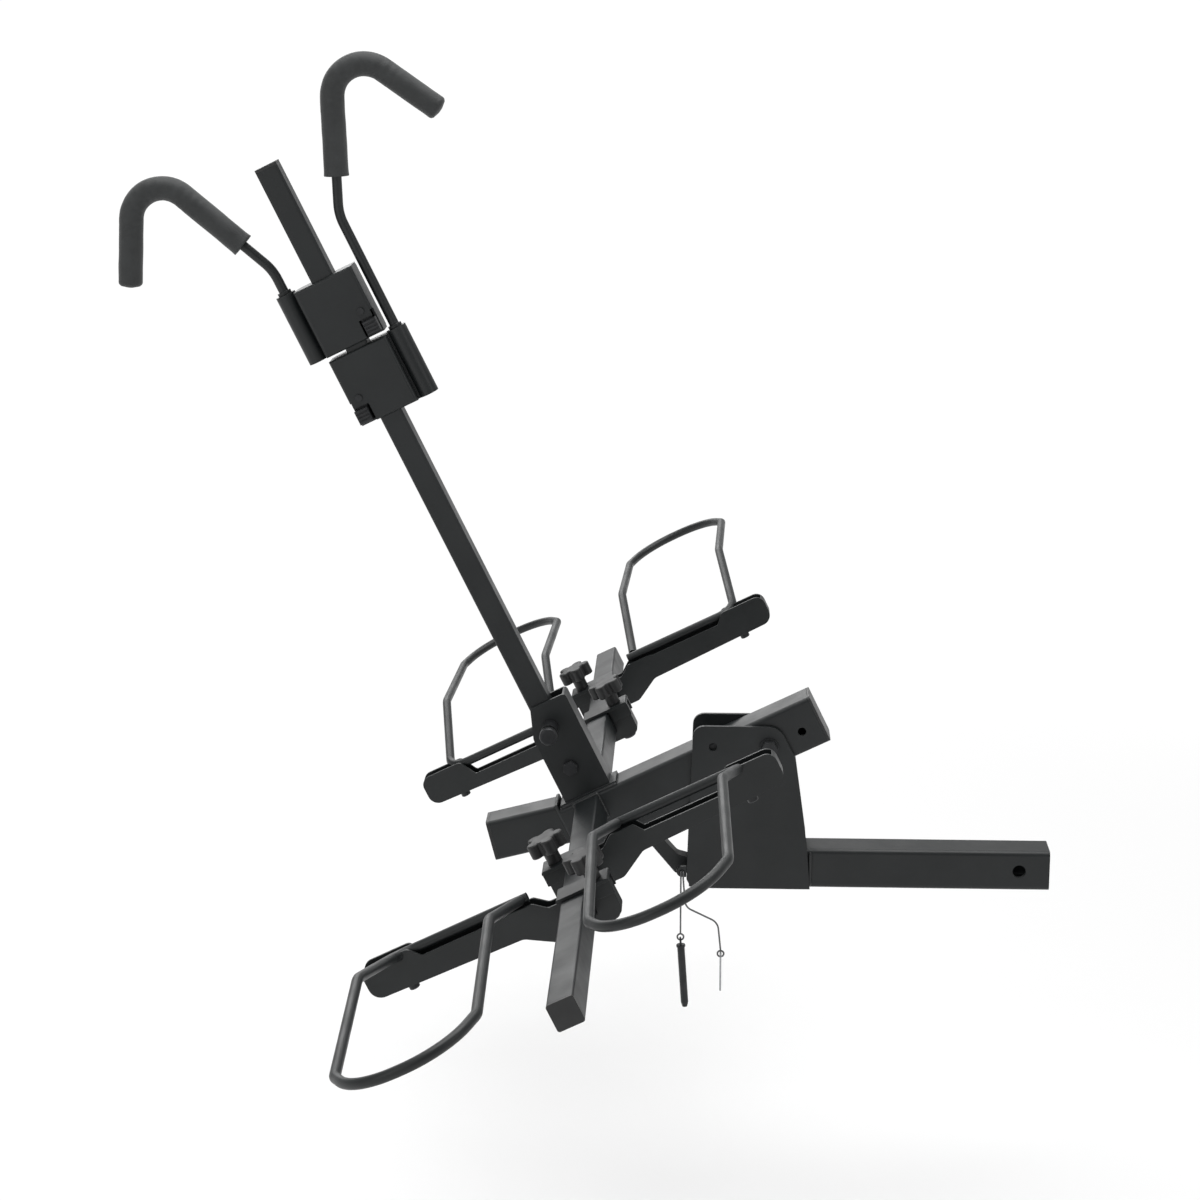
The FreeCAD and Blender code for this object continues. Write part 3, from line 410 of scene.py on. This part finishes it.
def hook_line(swivel_place, out, bend_w):
    """Centre line of a hook's foam from its start to past the rod's end, and the bend's centre."""
    root = swivel_place - (swivel_place - DECK_ORIGIN).dot(DECK_UP) * DECK_UP
    bend = root + bend_w * DECK_UP

    def lean(angle):
        return out * math.sin(angle) + DECK_UP * math.cos(angle)

    leg = lean(HOOK_LEAN)
    tail = lean(math.pi - TAIL_LEAN)
    sweep = math.pi - HOOK_LEAN - TAIL_LEAN
    inward = out * math.cos(HOOK_LEAN) - DECK_UP * math.sin(HOOK_LEAN)
    centre = bend + leg * HOOK_LEG + inward * HOOK_R
    line = resampled([bend + leg * FOAM_START, bend + leg * HOOK_LEG], HOOK_STEP)
    for i in range(1, HOOK_STEPS):
        turn = sweep * i / HOOK_STEPS
        line.append(centre + HOOK_R * (leg * math.sin(turn) - inward * math.cos(turn)))
    end = centre + HOOK_R * (leg * math.sin(sweep) - inward * math.cos(sweep))
    return line + resampled([end, end + tail * (HOOK_TAIL + TAIL_EXTRA)], HOOK_STEP), centre


def foam_sleeve(name, side, bend_w):
    joint = JOINTS[name + "_hook_swivel"]
    out = DECK_ALONG * side
    line, centre = hook_line(Vector(joint["pos_m"]), out, bend_w)
    count = len(line) - 1
    seed = 3.7 if side > 0 else 9.1

    def radius_at(along, angle):
        place = line[round(along * count)]
        lip = math.exp(-(along / 0.018) ** 2) * 0.5 * MM
        near_bend = math.exp(-(((place - centre).length - HOOK_R) / (9 * MM)) ** 2)
        wrinkle = near_bend * 0.35 * MM * math.sin(along * 150) * max(0.0, -math.cos(angle))
        skin_place = Vector((along * 14, math.cos(angle) * 1.2, math.sin(angle) * 1.2 + seed))
        lump = noise.noise(skin_place) * 0.35 * MM
        nose = 1.0
        from_tip = (1 - along) * SLEEVE_LENGTH
        if from_tip < NOSE:
            nose = math.sqrt(max(0.0, 1 - (1 - from_tip / NOSE) ** 2)) * 0.75 + 0.25
        return (FOAM_R - 0.3 * MM + lip + wrinkle + lump) * nose

    mesh = swept_tube(line, radius_at, 32, ACROSS)
    piece = new_piece(name + "_foam_sleeve", mesh, name + "_hook", FINISHES["foam"])
    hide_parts(name + "_hook_foam")


# ---- studio --------------------------------------------------------------------------------------
CAMERA_PLACE = Vector((-0.400, -3.388, 1.199))
WINDOW_CENTRE = Vector((-0.527, 0.0, 0.340))     # middle of the view, on the plane through the shank
WINDOW_WIDTH = 1.488
SENSOR = 36.0
FLOOR_Z = -0.47                                  # a receiver sits about this far above the ground
FLOOR_FADE = (0.5, 2.6)                          # distances between which the floor fades to white
DIM_SIDE = 0.14                                  # light from the camera's side


def camera():
    """Camera beside and above the rack, aimed at its middle."""
    data = bpy.data.cameras.new("camera")
    made = bpy.data.objects.new("camera", data)
    bpy.context.scene.collection.objects.link(made)
    made.location = CAMERA_PLACE
    aim = WINDOW_CENTRE - CAMERA_PLACE
    made.rotation_euler = aim.to_track_quat("-Z", "Y").to_euler()
    data.sensor_width = SENSOR
    data.lens = SENSOR * aim.length / WINDOW_WIDTH
    bpy.context.scene.camera = made


def floor():
    """Pale floor that fades into the white background far from the rack."""
    mesh = bpy.data.meshes.new("floor")
    half = 60.0
    corners = [(x * half, y * half, FLOOR_Z) for x, y in ((-1, -1), (1, -1), (1, 1), (-1, 1))]
    mesh.from_pydata(corners, [], [(0, 1, 2, 3)])
    made = bpy.data.objects.new("floor", mesh)
    bpy.context.scene.collection.objects.link(made)
    shader = Shader("pale_floor")
    away = shader.node("ShaderNodeVectorMath", operation="DISTANCE")
    shader.join(shader.place, away.inputs[0])
    away.inputs[1].default_value = (WINDOW_CENTRE.x, 0.0, FLOOR_Z)
    fade = shader.ramp(away.outputs["Value"], *FLOOR_FADE)
    tone = shader.mix(shader.ramp(shader.noise(0.8, 3.0), 0.3, 0.7), (0.80, 0.80, 0.80), (0.82, 0.82, 0.82))
    shader.set(base_color=shader.mix(fade, tone, (0.0, 0.0, 0.0)), roughness=0.8, specular_ior_level=0.1,
               emission_color=(1.0, 1.0, 1.0), emission_strength=fade)
    mesh.materials.append(shader.material)


def softbox(name, place, target, size, power):
    data = bpy.data.lights.new(name, "AREA")
    data.shape = "RECTANGLE"
    data.size, data.size_y = size
    data.energy = power
    made = bpy.data.objects.new(name, data)
    bpy.context.scene.collection.objects.link(made)
    made.location = place
    made.rotation_euler = (Vector(target) - Vector(place)).to_track_quat("-Z", "Y").to_euler()


def background_light(tree):
    """White to the camera; as a light, dim from the camera's side and bright from behind and above."""
    def node(kind, **settings):
        made = tree.nodes.new(kind)
        for key, value in settings.items():
            setattr(made, key, value)
        return made

    direction = node("ShaderNodeSeparateXYZ")
    tree.links.new(node("ShaderNodeTexCoord").outputs["Generated"], direction.inputs["Vector"])
    strength = None
    for axis, share in (("Y", 0.35), ("Z", 0.30)):
        part = node("ShaderNodeMapRange")
        part.inputs["From Min"].default_value = -0.4
        part.inputs["To Max"].default_value = share
        tree.links.new(direction.outputs[axis], part.inputs["Value"])
        total = node("ShaderNodeMath", operation="ADD")
        total.inputs[1].default_value = DIM_SIDE
        if strength is not None:
            tree.links.new(strength, total.inputs[1])
        tree.links.new(part.outputs["Result"], total.inputs[0])
        strength = total.outputs["Value"]
    seen = node("ShaderNodeMix", data_type="FLOAT")
    tree.links.new(node("ShaderNodeLightPath").outputs["Is Camera Ray"], seen.inputs["Factor"])
    tree.links.new(strength, seen.inputs["A"])
    seen.inputs["B"].default_value = 1.0
    tree.nodes["Background"].inputs["Color"].default_value = (1.0, 1.0, 1.0, 1.0)
    tree.links.new(seen.outputs["Result"], tree.nodes["Background"].inputs["Strength"])


def studio():
    world = bpy.data.worlds.new("studio")
    world.use_nodes = True
    background_light(world.node_tree)
    bpy.context.scene.world = world
    rack = (-0.5, 0.0, 0.3)
    softbox("top_softbox", (-0.6, 0.2, 3.4), rack, (3.0, 3.0), 115)
    softbox("front_softbox", (-3.0, -3.2, 1.6), rack, (2.0, 2.0), 25)
    softbox("side_softbox", (2.6, -2.2, 1.8), rack, (1.6, 1.6), 15)
    softbox("back_softbox", (-1.6, 3.4, 1.8), rack, (2.4, 1.6), 35)
    bpy.context.scene.view_settings.view_transform = "Standard"


finish_cad_nodes()
arm_welds()
upright_welds()
foam_sleeve("upper", -1, 775 * MM)
foam_sleeve("lower", 1, 800 * MM)
camera()
floor()
studio()
